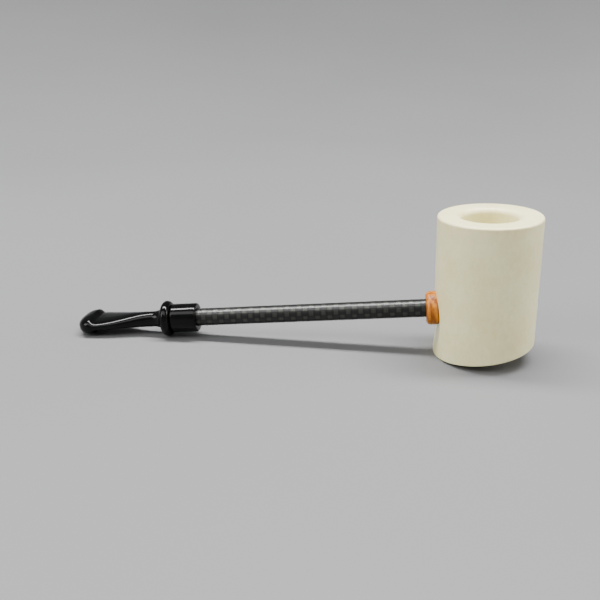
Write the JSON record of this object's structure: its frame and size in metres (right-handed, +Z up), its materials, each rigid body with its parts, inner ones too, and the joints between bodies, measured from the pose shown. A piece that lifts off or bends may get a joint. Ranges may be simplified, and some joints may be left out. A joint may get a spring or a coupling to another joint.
{
  "type": "tobacco pipe",
  "caption": "Tobacco pipe: straight-sided white bowl with a slanted heel, wood ring, carbon-fibre tube shank, black ferrule and push-fit fishtail mouthpiece.",
  "frame": {"origin": "on the surface the pipe lies on, under the middle of the whole pipe's box", "axes": "+X along the pipe from the mouthpiece towards the bowl, +Y across it, +Z up; the pipe rests on the heel's stem-side edge and the rim of the flare"},
  "size_m": [0.1812, 0.038, 0.0561],
  "materials": {
    "bowl_mineral": "satin",
    "white_plastic": "satin",
    "ring_wood": "satin",
    "carbon_fibre": "gloss",
    "black_acrylic": "gloss"
  },
  "bodies": {
    "bowl_group": {"bowl": "bowl_mineral", "bowl_bushing": "white_plastic"},
    "shank_plug": {"shank_tenon": "white_plastic"},
    "shank_group": {"wood_ring": "ring_wood", "carbon_tube": "carbon_fibre", "ferrule": "black_acrylic"},
    "mouthpiece_plug": {"mouthpiece_tenon": "white_plastic"},
    "mouthpiece_group": {"mouthpiece": "black_acrylic"}
  },
  "joints": [
    {"name": "shank_pull", "type": "slide", "parent": "bowl_group", "child": "shank_plug", "axis": [-0.9948, 0, -0.1014], "range_m": [0, 0.009]},
    {"name": "shank_turn", "type": "hinge", "parent": "shank_plug", "child": "shank_group", "pos_m": [0.04615, 0, 0.01739], "axis": [-0.9948, 0, -0.1014], "continuous": true},
    {"name": "mouthpiece_pull", "type": "slide", "parent": "shank_group", "child": "mouthpiece_plug", "axis": [-0.9948, 0, -0.1014], "range_m": [0, 0.01]},
    {"name": "mouthpiece_turn", "type": "hinge", "parent": "mouthpiece_plug", "child": "mouthpiece_group", "pos_m": [-0.05333, 0, 0.00724], "axis": [-0.9948, 0, -0.1014], "continuous": true}
  ]
}
